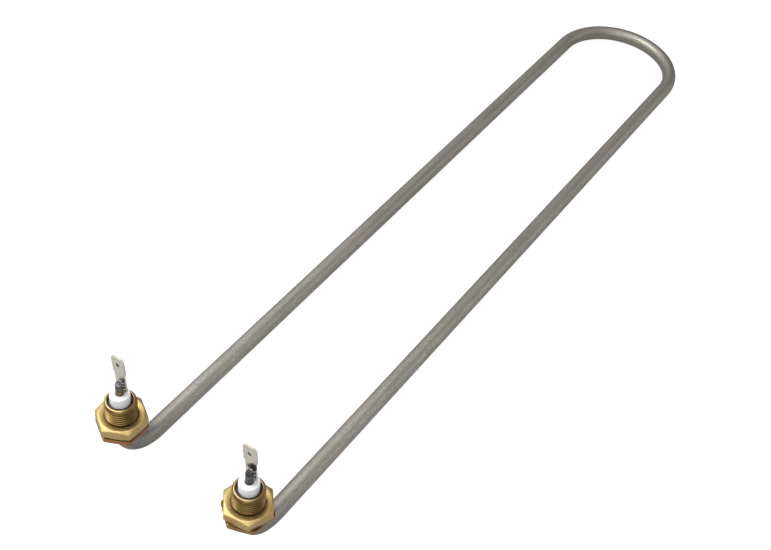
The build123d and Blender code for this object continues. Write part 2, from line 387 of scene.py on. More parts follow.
def lump(point, scale, seed):
    """Smooth noise from -1 to 1 at a point, with features about scale across."""
    return noise.noise(Vector(point) / scale + Vector((seed, seed * 1.7, -seed)))


def lumpy(rows, amount, scale, seed, weight=None):
    """Pushes grid points about by smooth noise, by at most amount, times a weight for each row."""
    out = np.array(rows)
    for index, row in enumerate(out):
        strength = amount if weight is None else amount * weight[index]
        for point in row:
            here = tuple(point)
            for axis in range(3):
                point[axis] += strength * lump(here, scale, seed + 11 * axis)
    return out


# ---------------- hexagons

HEX_CORNER_STEPS = (0.35, 0.9, 2.0, 4.0, 7.0, 11.0, 15.5, 20.0, 25.0)
HEX_ROUNDING = 90  # the higher, the sharper the hexagon's corners


def hex_angles():
    """Angles round a hexagon with a corner at 0, close together near the corners."""
    sixth = [0, *HEX_CORNER_STEPS, 30, *(60 - step for step in HEX_CORNER_STEPS[::-1])]
    return np.radians([corner + step for corner in range(0, 360, 60) for step in sixth])


HEX_ANGLES = hex_angles()


def hex_radius():
    """Distance from the centre to a hexagon's side at each of HEX_ANGLES, with corners eased."""
    total = np.zeros_like(HEX_ANGLES)
    for side in range(6):
        facing = np.cos(HEX_ANGLES - radians(30 + 60 * side))
        total += np.clip(facing, 0, None) ** HEX_ROUNDING
    return HEX_HALF_FLATS / total ** (1 / HEX_ROUNDING)


def hex_side(bottom_z, top_z, bottom_cone, top_cone, ease=0.14 * MM):
    """Profile of a hexagon's outside from its top face down to its bottom face."""
    side = hex_radius()

    def one_end(face_z, inward, rim, slope):
        rise = inward * tan(radians(slope))

        def on_cone(radius, sink=0.0):
            radius = np.minimum(radius, side - 0.02 * MM)
            return radius, face_z + rise * np.clip(radius - rim, 0, None) + inward * sink * ease

        return [
            (rim - 2 * ease, face_z),
            (rim - ease / 2, face_z),
            on_cone(rim + ease, 0.05),
            on_cone(side - ease * 0.9, 0.12),
            on_cone(side - ease * 0.2, 0.3),
            (side, on_cone(side)[1] + inward * ease * 1.1),
        ]

    return one_end(top_z, -1, *top_cone) + one_end(bottom_z, 1, *bottom_cone)[::-1]


# ---------------- pieces


def sheath_squeeze(points):
    """How much each bend flattens the tube in its own plane, at each point: (across, upright)."""
    y = np.array([p.y for p in points])
    z = np.array([p.z for p in points])
    in_bend = smoothstep(ROUTE.bend_y - 4 * MM, ROUTE.bend_y + 12 * MM, y)
    in_elbow = smoothstep(ROUTE.axis_z, ROUTE.axis_z + 6 * MM, z)
    in_elbow *= 1 - smoothstep(ROUTE.axis_z + 14 * MM, ROUTE.axis_z + 20 * MM, z)
    return np.stack([BEND_SQUEEZE * in_bend, ELBOW_SQUEEZE * in_elbow], 1)


def directions(points):
    """Unit vectors along a line of points."""
    along = np.gradient(points, axis=0)
    return along / np.linalg.norm(along, axis=1, keepdims=True)


def tube_rows(points, radius, squeeze):
    """Rings round a path that starts upright, and where each would be if the tube were straight."""
    positions = np.array([tuple(p) for p in points])
    across = np.array([1.0, 0.0, 0.0])
    angles = np.arange(TUBE_SIDES) * 2 * pi / TUBE_SIDES
    rings, straight = [], []
    along = 0.0
    for index, (position, tangent) in enumerate(zip(positions, directions(positions))):
        across = across - tangent * (across @ tangent)
        across /= np.linalg.norm(across)
        up = np.cross(across, tangent)
        half_width, half_height = radius * (1 - squeeze[index])
        ring = position + np.outer(np.cos(angles) * half_width, across)
        ring += np.outer(np.sin(angles) * half_height, up)
        rings.append(ring)
        if index:
            along += np.linalg.norm(position - positions[index - 1])
        flat = [radius * np.cos(angles), radius * np.sin(angles), np.full(TUBE_SIDES, along)]
        straight.append(np.stack(flat, 1))
    return np.array(rings), np.array(straight)


def store_straight(obj, straight):
    """Keeps each point's place on the straight tube, for the finish that runs along it."""
    attribute = obj.data.attributes.new("straight", "FLOAT_VECTOR", "POINT")
    attribute.data.foreach_set("vector", straight.reshape(-1).astype(np.float32))


def store_number(obj, name, values):
    """Keeps a number for each point, for its material to use."""
    attribute = obj.data.attributes.new(name, "FLOAT", "POINT")
    attribute.data.foreach_set("value", values.reshape(-1).astype(np.float32))


def make_sheath():
    """The bent tube, open at both ends."""
    path = ROUTE.whole(NECKS["right"].sheath_end, LEG_STEP, 2.5)
    squeeze = sheath_squeeze(path)
    outside, straight = tube_rows(path, SHEATH_DIAMETER / 2, squeeze)
    inside, straight_inside = tube_rows(path, SHEATH_DIAMETER / 2 - SHEATH_WALL, squeeze)
    rows = np.concatenate([outside, inside[::-1]])
    sheath = grid_object("sheath", rows, closed=True)
    store_straight(sheath, np.concatenate([straight, straight_inside[::-1]]))
    finish_piece(sheath, "sheath_metal", "sheath", "sheath_tube")


def make_coil():
    """The resistance wire, as one long helix along the heated part."""
    positions = np.array([tuple(p) for p in ROUTE.run(COLD_LENGTH, 2 * MM, 2.0)])
    lengths = np.concatenate([[0], np.cumsum(np.linalg.norm(np.diff(positions, axis=0), axis=1))])
    count = int(lengths[-1] / COIL_PITCH * COIL_STEPS_PER_TURN)
    s = np.linspace(WIRE_DIAMETER / 2, lengths[-1] - WIRE_DIAMETER / 2, count)
    centre = np.stack([np.interp(s, lengths, positions[:, axis]) for axis in range(3)], 1)
    up = np.array([0.0, 0.0, 1.0])
    turn = (2 * pi * s / COIL_PITCH)[:, None]
    outwards = np.cross(directions(centre), up) * np.cos(turn) + up * np.sin(turn)
    low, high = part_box("resistance_coil")
    wire = centre + outwards * ((high.z - low.z) / 2 - WIRE_DIAMETER / 2)
    sideways = np.cross(directions(wire), outwards)
    rows = np.zeros((count, WIRE_SIDES, 3))
    for side in range(WIRE_SIDES):
        a = 2 * pi * side / WIRE_SIDES
        rows[:, side] = wire + WIRE_DIAMETER / 2 * (outwards * cos(a) + sideways * sin(a))
    coil = grid_object("resistance_coil_wire", rows, capped=True, sharp_angle=80)
    finish_piece(coil, "coil_wire", "resistance_wire", "resistance_coil")


def groove_depth(neck, z, angles):
    """Depth of the right-hand thread's groove at height z, from 0 at its crest to 1 at its root."""
    from_facing = angles - radians(THREAD_FACING[neck.end])
    crest_z = THREAD_CREST_Z + THREAD_PITCH * from_facing / (2 * pi)
    from_middle = np.abs((crest_z - z) / THREAD_PITCH % 1 - 0.5) * 2
    started = 1 - 0.7 * smoothstep(FULL_THREAD_Z, FULL_THREAD_Z + 0.5 * MM, z)
    return started * (1 - smoothstep(0.1, 0.9, from_middle))


def make_bushing(neck):
    """Flange and threaded neck in one piece, with a bore for the sheath and a counterbore."""
    root = NECK_RADIUS - THREAD_DEPTH
    bore = SHEATH_DIAMETER / 2 + BRAZE_GAP
    turned = HEX_ANGLES + radians(FLANGE_TURN[neck.end])
    rim = NECK_RADIUS - RIM_CHAMFER
    ease = 0.1 * MM
    profile = [
        (bore, neck.flange_z),
        (bore, neck.sheath_end - ease),
        (bore, neck.sheath_end),
        (neck.counterbore, neck.sheath_end),
        (neck.counterbore, neck.sheath_end + ease),
        (neck.counterbore, neck.rim_z - 1.6 * ease),
        (neck.counterbore + 0.4 * ease, neck.rim_z - 0.5 * ease),
        (neck.counterbore + 1.2 * ease, neck.rim_z),
        (rim - ease, neck.rim_z),
    ]
    depths = [np.zeros_like(turned) for _ in profile]
    # from the rim down, the thread cuts through the chamfer's cone
    thread_foot = neck.nut_top - THREAD_UNDER_NUT
    for z in np.arange(neck.rim_z - 0.2 * ease, thread_foot, -THREAD_PITCH / THREAD_STEPS_PER_TURN):
        depth = groove_depth(neck, z, turned)
        cone = rim + (neck.rim_z - z) * RIM_CHAMFER / RIM_CHAMFER_HEIGHT
        profile.append((np.minimum(NECK_RADIUS - THREAD_DEPTH * depth, cone), z))
        depths.append(depth)
    below = [
        (root, thread_foot - ease),
        (root, neck.seat_z + ease),
        (root + ease, neck.seat_z),
        *hex_side(neck.flange_z, neck.seat_z, *FLANGE_CONES),
        (bore + 0.5 * MM, neck.flange_z),
    ]
    profile += below
    depths += [np.zeros_like(turned) for _ in below]
    placed = moved(lathe_rows(profile, HEX_ANGLES), neck, FLANGE_TURN[neck.end])
    bushing = grid_object(f"neck_{neck.end}", placed, closed=True)
    store_number(bushing, "groove", np.array(depths))
    finish_piece(bushing, f"neck_metal_{neck.end}", "neck_brass", f"threaded_bushing_{neck.end}")


def make_nut(neck):
    """Thin hexagon nut with a chamfered mouth at both faces."""
    bore = NECK_RADIUS - THREAD_DEPTH + THREAD_CLEARANCE
    ease = 0.08 * MM

    def mouth(face_z, inward):
        return [
            (bore + NUT_MOUTH_CHAMFER + ease, face_z),
            (bore + NUT_MOUTH_CHAMFER - ease, face_z + inward * ease),
            (bore + ease / 2, face_z + inward * NUT_MOUTH_CHAMFER),
            (bore, face_z + inward * (NUT_MOUTH_CHAMFER + ease)),
        ]

    profile = hex_side(neck.nut_z, neck.nut_top, *NUT_CONES)
    profile += mouth(neck.nut_z, 1) + mouth(neck.nut_top, -1)[::-1]
    placed = moved(lathe_rows(profile, HEX_ANGLES), neck, NUT_TURN[neck.end])
    nut = grid_object(f"nut_{neck.end}", placed, closed=True)
    finish_piece(nut, "nut_metal", "nut_brass", f"hex_nut_{neck.end}")


def make_braze(neck):
    """Uneven fillet of braze metal round the tube."""
    tube, top_z = SHEATH_DIAMETER / 2, neck.flange_z - FACE_GAP
    width, height = neck.braze_radius - tube, neck.flange_z - neck.braze_z
    profile = [(tube - BRAZE_BITE, top_z)]
    for t in np.linspace(0, 1, 9):
        profile.append((tube + width * (1 - t) ** BRAZE_HOLLOW, top_z - height * t**BRAZE_HOLLOW))
    profile.append((tube - BRAZE_BITE, neck.braze_z))
    rows = moved(lathe_rows(profile, TURNED_ANGLES), neck)
    rows = lumpy(rows, 0.16 * MM, 1.6 * MM, 3 + neck.side, [0, 0.5] + [1] * 7 + [0.3, 0])
    rows[..., 2] = np.minimum(rows[..., 2], top_z)
    ring = grid_object(f"braze_{neck.end}", rows, closed=True, sharp_angle=60)
    finish_piece(ring, "braze_metal", "braze_metal", f"braze_ring_{neck.end}")


def make_ceramic(neck):
    """Insulator: a wide head in the counterbore, a spigot in the sheath and a hole for the pin."""
    hole = PIN_RADIUS + CERAMIC_CLEARANCE
    radius = neck.ceramic_radius
    spigot = SHEATH_DIAMETER / 2 - SHEATH_WALL - CERAMIC_CLEARANCE
    # radius, height and rounding of each corner
    corners = [
        (hole, neck.spigot_z, 0.1 * MM),
        (spigot, neck.spigot_z, 0.2 * MM),
        (spigot, neck.sheath_end, 0.05 * MM),
        (radius, neck.sheath_end, 0.1 * MM),
        (radius, neck.ceramic_top, 0.75 * MM),
        (hole, neck.ceramic_top, 0.3 * MM),
    ]
    profile = rounded([corner[:2] for corner in corners], [corner[2] for corner in corners], 6)
    rows = lumpy(lathe_rows(profile, TURNED_ANGLES), 0.02 * MM, 2.5 * MM, 7 + neck.side)
    ceramic = grid_object(f"insulator_{neck.end}", moved(rows, neck), closed=True, sharp_angle=60)
    keep_inside(ceramic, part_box(f"ceramic_insulator_{neck.end}"))
    finish_piece(ceramic, "ceramic", "ceramic", f"ceramic_insulator_{neck.end}")


def make_end_seal(neck):
    """Potting round the insulator, with a hollow, uneven surface."""
    inner, outer = neck.ceramic_radius, neck.counterbore
    profile = [(inner, neck.sheath_end), (outer, neck.sheath_end)]
    for t in np.linspace(0, 1, 9):
        dip = POTTING_DIP * (1 - (2 * t - 1) ** 2)
        profile.append((outer - (outer - inner) * t, neck.seal_top - dip - 0.05 * MM))
    rows = moved(lathe_rows(profile, TURNED_ANGLES), neck)
    rows = lumpy(rows, 0.12 * MM, 0.9 * MM, 17 + neck.side, [0, 0, 0.5, 0.8] + [1] * 5 + [0.8, 0.5])
    seal = grid_object(f"potting_{neck.end}", rows, closed=True, sharp_angle=60)
    finish_piece(seal, "potting", "potting", f"end_seal_{neck.end}")


def pin_path(neck):
    """From the pin's top down the neck, round the elbow and along the leg into the coil."""
    reach = COLD_LENGTH + COIL_GRIP
    path = ROUTE.rise(neck.side, neck.pin_top, 0.25 * MM, 3.0)
    path += ROUTE.leg_points(neck.side, ELBOW_RADIUS, LEG_STEP)[1:]
    end = ROUTE.neck_y + reach * cos(ROUTE.touch)
    return [p for p in path if p.y < end] + [ROUTE.on_leg(neck.side, reach)]


def pin_cap(neck, top_ring, top_straight):
    """Rings that close the pin's top with an eased edge, and their places on the straight pin."""
    axis = np.array([neck.x, neck.y])
    cap, straight = [], []
    for share, drop in PIN_TOP_EDGE:
        ring = top_ring.copy()
        ring[:, :2] = axis + (ring[:, :2] - axis) * share
        ring[:, 2] = neck.pin_top - drop
        cap.append(ring)
        straight.append(top_straight * (share, share, 1))
    return cap, straight


def press_flat(neck, ring):
    """The same ring with its back flattened where the tab lies on it."""
    to_tab = np.array(neck.tab_frame().inverted())
    from_tab = np.array(neck.tab_frame())
    local = np.hstack([ring, np.ones((len(ring), 1))]) @ to_tab.T
    pressed = local[:, 2] > TAB_FOOT_Z
    local[pressed, 1] = np.minimum(local[pressed, 1], TAB_FRONT_Y)
    return (local @ from_tab.T)[:, :3]


def make_pin(neck):
    """Long pin, bent with the sheath. Its top is pressed into a burr, and its back is flat at the
    tab."""
    path = pin_path(neck)
    rings, straight = tube_rows(path, PIN_RADIUS, np.zeros((len(path), 2)))
    axis = np.array([neck.x, neck.y])
    exposed = rings[:, 0, 2] > neck.ceramic_top - 0.3 * MM
    burr = 1 - smoothstep(0.3 * MM, 1.1 * MM, neck.pin_top - rings[:, 0, 2])
    wider = (1 + PIN_BURR * burr)[exposed, None, None]
    rings[exposed, :, :2] = axis + (rings[exposed, :, :2] - axis) * wider
    cap, cap_straight = pin_cap(neck, rings[0], straight[0])
    rings = np.concatenate([cap, rings[1:]])
    straight = np.concatenate([cap_straight, straight[1:]])
    below_top = neck.pin_top - rings[..., 2]
    exposed = rings[:, :, 2].mean(axis=1) > neck.ceramic_top - 0.3 * MM
    rings = lumpy(rings, 0.06 * MM, 0.9 * MM, 23 + neck.side, exposed.astype(float))
    # the cutter left the top slanted, and lower towards the front
    slant = smoothstep(neck.pin_top - 1.2 * MM, neck.pin_top - 0.1 * MM, rings[..., 2])
    rings[..., 2] += slant * PIN_TOP_SLOPE * np.clip(rings[..., 1] - neck.y - PIN_RADIUS, -1, 0)
    for index in np.flatnonzero(exposed):
        rings[index] = press_flat(neck, rings[index])
    pin = grid_object(f"pin_{neck.end}", rings, capped=True, sharp_angle=60)
    keep_inside(pin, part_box(f"terminal_pin_{neck.end}"))
    store_straight(pin, straight)
    store_number(pin, "below_top", below_top)
    finish_piece(pin, f"pin_metal_{neck.end}", "pin_steel", f"terminal_pin_{neck.end}")


def tab_outlines():
    """The outlines of the tab and of its hole, in the tab's own frame: (x, z)."""
    half_shank, half_blade = TAB_SHANK_WIDTH / 2, TAB_WIDTH / 2
    shoulder = TAB_FOOT_Z + TAB_SHANK_LENGTH
    tip = shoulder + TAB_BLADE_LENGTH
    right_side = [
        (half_shank, TAB_FOOT_Z),
        (half_shank, shoulder - TAB_SHOULDER_SLOPE),
        (half_blade, shoulder),
        (half_blade, tip - TAB_TIP_CUT[1]),
        (half_blade - TAB_TIP_CUT[0], tip),
    ]
    outline = rounded(right_side + [(-x, z) for x, z in right_side[::-1]], 0.28 * MM)
    turns = np.arange(TAB_HOLE_SIDES) * 2 * pi / TAB_HOLE_SIDES
    hole = [(TAB_HOLE_RADIUS * cos(a), TAB_HOLE_Z + TAB_HOLE_RADIUS * sin(a)) for a in turns]
    return outline, hole


def make_tab(neck):
    """Stamped tab: shank, shoulders, blade with a latch hole, and eased edges."""
    work = bmesh.new()
    edges = []
    for loop in tab_outlines():
        verts = [work.verts.new((x + TAB_SHIFT[neck.end], TAB_FRONT_Y, z)) for x, z in loop]
        edges += [work.edges.new((verts[i - 1], verts[i])) for i in range(len(verts))]
    bmesh.ops.triangle_fill(work, use_beauty=True, edges=edges)
    made = bmesh.ops.extrude_face_region(work, geom=work.faces[:])
    for item in made["geom"]:
        if isinstance(item, bmesh.types.BMVert):
            item.co.y += TAB_THICKNESS
    bmesh.ops.recalc_face_normals(work, faces=work.faces)
    tab = smooth_object(f"tab_{neck.end}", mesh_from(work, f"tab_{neck.end}"), 50)
    ease = tab.modifiers.new("ease", "BEVEL")
    ease.width = TAB_EDGE
    ease.segments = 2
    ease.limit_method = "ANGLE"
    ease.angle_limit = radians(50)
    apply_modifiers(tab)
    tab.data.transform(neck.tab_frame())
    keep_inside(tab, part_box(f"spade_tab_{neck.end}"))
    finish_piece(tab, "tab_metal", "tab_nickel", f"spade_tab_{neck.end}")


def mesh_from(work, name):
    """Turns a bmesh into a mesh, and frees it."""
    mesh = bpy.data.meshes.new(name)
    work.to_mesh(mesh)
    work.free()
    return mesh


def apply_modifiers(obj):
    depsgraph = bpy.context.evaluated_depsgraph_get()
    mesh = bpy.data.meshes.new_from_object(obj.evaluated_get(depsgraph))
    obj.modifiers.clear()
    obj.data = mesh


def keep_inside(obj, node_box):
    """Clamps points to a CAD node's box, so that rounding never adds to its size."""
    low, high = node_box
    for vertex in obj.data.vertices:
        for axis in range(3):
            vertex.co[axis] = min(max(vertex.co[axis], low[axis]), high[axis])


def ball(work, centre, radii, subdivisions=2):
    """Adds a ball, drawn out to three radii."""
    made = bmesh.ops.create_icosphere(work, subdivisions=subdivisions, radius=1.0)
    for vertex in made["verts"]:
        vertex.co = Vector(centre) + Vector([c * r for c, r in zip(vertex.co, radii)])


def make_weld(neck):
    """Column of weld beads in the corner between pin and tab, with the metal that ran under it."""
    rng = np.random.default_rng(WELD_SEED[neck.end])
    top = TAB_OVERLAP / 2
    work = bmesh.new()
    for index in range(BEAD_COUNT):
        x = 1.45 * MM + 0.2 * MM * rng.random()
        size = (0.8 + 0.1 * rng.random()) * MM
        centre = (x, TAB_FRONT_Y - 0.55 * MM, top + BEAD_RISE - index * BEAD_PITCH)
        ball(work, centre, (size, size * 0.8, size * 0.86), 3)
    for index in range(9):
        x = (1.0 + 0.3 * rng.random()) * MM
        z = top + 0.6 * MM - index * 0.55 * MM
        ball(work, (x, TAB_FRONT_Y - 0.3 * MM, z), (0.55 * MM, 0.42 * MM, 0.5 * MM))
    for x in (-0.2, 0.35, 0.9):
        ball(work, (x * MM, TAB_FRONT_Y - 0.25 * MM, top + 0.1 * MM), (0.5 * MM, 0.35 * MM, 0.35 * MM))
    weld = smooth_object(f"weld_{neck.end}", mesh_from(work, f"weld_{neck.end}"), 180)
    fuse = weld.modifiers.new("fuse", "REMESH")
    fuse.mode = "VOXEL"
    fuse.voxel_size = 0.08 * MM
    fuse.use_smooth_shade = True
    apply_modifiers(weld)
    for vertex in weld.data.vertices:
        vertex.co += vertex.normal * 0.05 * MM * lump(vertex.co, 0.4 * MM, 31)
    weld.data.transform(neck.tab_frame())
    finish_piece(weld, "weld_metal", "weld_metal", f"tab_weld_{neck.end}")


def finish_piece(obj, material, slot, *nodes):
    """Gives a piece its material, and sets it on the part in place of its CAD nodes."""
    obj.data.materials.clear()
    obj.data.materials.append(MATERIALS[material])
    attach(obj, "root")
    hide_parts(*nodes)


# ---------------- materials


def add_node(tree, kind, inputs, **settings):
    """Adds a shader node. An input takes a number or a colour, or is linked to another's output."""
    node = tree.nodes.new(f"ShaderNode{kind}")
    for name, value in settings.items():
        setattr(node, name, value)
    for socket, value in inputs.items():
        if isinstance(value, bpy.types.NodeSocket):
            tree.links.new(value, node.inputs[socket])
        else:
            node.inputs[socket].default_value = value
    return node


class Finish:
    """A procedural material, built node by node."""

    def __init__(self, name, color, metallic, roughness):
        self.material = bpy.data.materials.new(name)
        self.material.use_nodes = True
        self.tree = self.material.node_tree
        self.shader = self.tree.nodes["Principled BSDF"]
        self.shader.inputs["Base Color"].default_value = (*color, 1)
        self.shader.inputs["Metallic"].default_value = metallic
        self.shader.inputs["Roughness"].default_value = roughness
        self.base = (*color, 1)
        self.place = self.node("TexCoord", {}).outputs["Object"]

    def node(self, kind, inputs, **settings):
        return add_node(self.tree, kind, inputs, **settings)

    def stored(self, name, output):
        """What the mesh has stored under a name for each point."""
        return self.node("Attribute", {}, attribute_name=name).outputs[output]

    def stretched(self, vector, scale, offset=(0, 0, 0)):
        inputs = {"Vector": vector, "Scale": scale, "Location": offset}
        return self.node("Mapping", inputs).outputs["Vector"]

    def noise(self, vector, scale, detail=3, rough=0.6):
        inputs = {"Vector": vector, "Scale": scale, "Detail": detail, "Roughness": rough}
        return self.node("TexNoise", inputs).outputs["Fac"]

    def ramp(self, value, low, high, out_low=0.0, out_high=1.0):
        """Goes smoothly from one result to the other as the value goes from low to high."""
        inputs = {"Value": value, "From Min": low, "From Max": high}
        inputs |= {"To Min": out_low, "To Max": out_high}
        return self.node("MapRange", inputs, interpolation_type="SMOOTHSTEP").outputs["Result"]

    def math(self, kind, a, b=0.0):
        return self.node("Math", {0: a, 1: b}, operation=kind).outputs[0]

    def both(self, a, b):
        """The product of two shares."""
        return self.math("MULTIPLY", a, b)

    def band(self, value, middle, half_width, strength=1.0):
        """The strength at the middle value, down to 0 at half a width from it."""
        off = self.math("ABSOLUTE", self.math("SUBTRACT", value, middle))
        return self.ramp(off, 0.3 * half_width, half_width, strength, 0.0)

    def vector_math(self, kind, a, b):
        return self.node("VectorMath", {0: a, 1: b}, operation=kind).outputs

    def axis(self, letter):
        """A surface point's X, Y or Z, in metres."""
        return self.node("SeparateXYZ", {0: self.place}).outputs[letter]

    def distance_from(self, point):
        """Distance of a surface point from a fixed point, in metres."""
        return self.vector_math("DISTANCE", self.place, point)["Value"]

    def reach(self, point, direction):
        """How far a surface point lies from a fixed point in one direction, in metres."""
        offset = self.vector_math("SUBTRACT", self.place, point)["Vector"]
        return self.vector_math("DOT_PRODUCT", offset, direction)["Value"]

    def from_axis(self, neck):
        """Distance of a surface point from a neck's axis, in metres."""
        x = self.math("SUBTRACT", self.axis("X"), neck.x)
        y = self.math("SUBTRACT", self.axis("Y"), neck.y)
        return self.math("SQRT", self.math("ADD", self.math("POWER", x, 2), self.math("POWER", y, 2)))

    def tint(self, factor, color):
        """Mixes a colour into the base colour by a factor."""
        mix = self.node("Mix", {"Factor": factor, 6: self.base, 7: (*color, 1)}, data_type="RGBA")
        self.base = mix.outputs[2]
        self.tree.links.new(self.base, self.shader.inputs["Base Color"])

    def rough(self, value):
        self.tree.links.new(value, self.shader.inputs["Roughness"])

    def bump(self, height, distance, strength=1.0):
        """Adds small relief to the relief that is already there."""
        normal = self.shader.inputs["Normal"]
        inputs = {"Height": height, "Distance": distance, "Strength": strength}
        if normal.is_linked:
            inputs["Normal"] = normal.links[0].from_socket
        self.tree.links.new(self.node("Bump", inputs).outputs["Normal"], normal)


def sheath_metal():
    """Drawn stainless tube: satin, scratched lengthwise, blotched, tinted by heat at its ends, with
    painted shade near the necks.
    """
    f = Finish("sheath_metal", (0.36, 0.345, 0.315), 1.0, 0.45)
    bar = f.stored("straight", "Vector")
    streaks = f.noise(f.stretched(bar, (2200, 2200, 26)), 1.0, 4, 0.6)
    fine = f.noise(f.stretched(bar, (6000, 6000, 160)), 1.0)
    blotch = f.noise(f.stretched(bar, (160, 160, 70)), 1.0)
    patch = f.noise(f.stretched(bar, (90, 90, 25), (4, 1, 7)), 1.0, 2, 0.5)
    specks = f.noise(f.stretched(bar, (1300, 1300, 800), (2, 9, 5)), 1.0, 3, 0.7)
    f.tint(f.ramp(streaks, 0.35, 0.68), (0.44, 0.42, 0.385))
    f.tint(f.ramp(fine, 0.56, 0.72, 0.0, 0.5), (0.20, 0.19, 0.175))
    f.tint(f.ramp(specks, 0.5, 0.68, 0.0, 0.7), (0.20, 0.19, 0.17))
    f.tint(f.ramp(specks, 0.3, 0.46, 0.5, 0.0), (0.52, 0.50, 0.46))
    f.tint(f.ramp(blotch, 0.5, 0.72, 0.0, 0.5), (0.30, 0.275, 0.23))
    f.tint(f.ramp(patch, 0.5, 0.62, 0.0, 0.6), (0.40, 0.35, 0.335))
    f.tint(f.ramp(patch, 0.36, 0.48, 0.5, 0.0), (0.33, 0.325, 0.27))
    along_leg = f.ramp(f.axis("Y"), ROUTE.neck_y + 60 * MM, ROUTE.bend_y - 140 * MM, 0.0, 0.35)
    f.tint(along_leg, (0.22, 0.205, 0.18))
    to_bend = f.ramp(f.axis("Y"), ROUTE.bend_y - 30 * MM, ROUTE.bend_y + 10 * MM, 0.0, 0.4)
    f.tint(to_bend, (0.24, 0.225, 0.19))
    for neck in NECKS.values():
        near = f.distance_from((neck.x, neck.y, neck.flange_z))
        # painted shade on the elbow and the start of each leg, near the neck
        f.tint(f.ramp(near, 22 * MM, 45 * MM, 0.6, 0.0), (0.24, 0.23, 0.21))
        f.tint(f.ramp(near, 6 * MM, 15 * MM, 0.7, 0.0), (0.32, 0.21, 0.21))
    f.rough(f.ramp(streaks, 0.3, 0.7, 0.40, 0.54))
    f.bump(streaks, 0.00004, 0.5)
    f.bump(fine, 0.00001, 0.5)
    return f


def brass(name, color, dark, light, rough_low, rough_high, seed):
    """Brass of one colour, mottled with a darker and a lighter one."""
    f = Finish(name, color, 1.0, rough_low)
    place = f.stretched(f.place, (1, 1, 1), (seed, seed, 0))
    wide = f.noise(place, 160, 3, 0.55)
    fine = f.noise(place, 900, 4, 0.6)
    f.tint(f.ramp(wide, 0.42, 0.68, 0.0, 0.6), dark)
    f.tint(f.ramp(fine, 0.5, 0.72, 0.0, 0.45), light)
    f.rough(f.ramp(fine, 0.35, 0.7, rough_low, rough_high))
    f.bump(fine, 0.00001, 0.6)
    return f


def nut_metal():
    """Brass bar, cleaner than the necks, with painted shade in the mouth of its thread."""
    f = brass("nut_metal", (0.56, 0.41, 0.17), (0.42, 0.28, 0.09), (0.62, 0.47, 0.23), 0.38, 0.50, 0.3)
    mouth = NECK_RADIUS + 0.1 * MM
    for neck in NECKS.values():
        # painted shade in the nut's mouth round the neck
        f.tint(f.ramp(f.from_axis(neck), mouth, mouth + 0.2 * MM, 0.5, 0.0), (0.16, 0.10, 0.03))
    return f


def tint_rim(f, neck, stain, on_top):
    """The rim: brown on its flat, olive on its chamfer with one brown patch, a painted highlight on the
    edge between, and painted shade in the bore.
    """
    f.tint(f.both(on_top, f.ramp(stain, 0.3, 0.6, 0.8, 0.2)), (0.37, 0.29, 0.10))
    patch = f.distance_from((neck.x - 0.2 * MM, neck.y - NECK_RADIUS, neck.rim_z))
    f.tint(f.ramp(patch, 1.4 * MM, 3.2 * MM, 0.75, 0.0), (0.26, 0.12, 0.055))
    at_front = f.ramp(f.reach((neck.x, neck.y, 0), (-0.4, -0.92, 0)), -2 * MM, 4 * MM)
    f.tint(f.both(on_top, f.math("SUBTRACT", 0.75, at_front)), (0.20, 0.125, 0.05))
    radius = f.from_axis(neck)
    # painted highlight: a bright glint at the front of the edge between the rim's flat and its chamfer
    edge_glint = f.both(at_front, f.band(radius, NECK_RADIUS - RIM_CHAMFER, 0.2 * MM))
    f.tint(f.both(on_top, edge_glint), (0.85, 0.62, 0.30))
    # painted shade: the counterbore's wall near black, in the gap round the ceramic
    bore_shade = f.ramp(radius, neck.counterbore + 0.05 * MM, neck.counterbore + 0.15 * MM, 0.95, 0.0)
    f.tint(bore_shade, (0.02, 0.014, 0.01))


def tint_thread(f, neck, on_top):
    """The thread: painted shade on the side turned from the light, and near black painted shade in its top
    grooves.
    """
    # painted shade: the thread darker on the side turned from the light
    painted_shade = f.ramp(f.reach((neck.x, neck.y, 0), SHADED_SIDE[neck.end]), 0, 6 * MM, 0.0, 0.8)
    f.tint(f.both(f.math("SUBTRACT", 1, on_top), painted_shade), (0.17, 0.11, 0.035))
    # painted shade in the thread's grooves, darkest in the top ones
    depth = f.ramp(f.axis("Z"), neck.rim_z - 5.5 * MM, neck.rim_z - 2.5 * MM, 0.7, 1.0)
    in_groove = f.ramp(f.stored("groove", "Fac"), 0.1, 0.7)
    f.tint(f.both(in_groove, depth), (0.03, 0.018, 0.006))


def tint_flange(f, neck, stain):
    """The flange: browned all round, dark under the nut with painted shadow of the nut and flux dirt,
    flushed red where the tube comes out.
    """
    height, shades = f.axis("Z"), NECK_SHADES[neck.end]
    on_flange = f.ramp(height, neck.seat_z - 0.1 * MM, neck.seat_z + 0.2 * MM, 1.0, 0.0)
    f.tint(f.both(on_flange, f.ramp(stain, 0.35, 0.6, 0.5, 1.0)), shades["flange"])
    flushed = f.ramp(f.reach((neck.x, neck.y, 0), (0.9, 0.44, 0)), 2.5 * MM, 7.5 * MM, 0.1, 0.9)
    f.tint(f.both(on_flange, flushed), shades["flush"])
    # dark on the flange's top face: painted shadow of the nut, and flux dirt
    nut_shadow_and_flux = f.ramp(height, neck.seat_z - 0.5 * MM, neck.seat_z - 0.3 * MM, 0.0, 0.9)
    f.tint(f.both(nut_shadow_and_flux, on_flange), (0.05, 0.028, 0.006))


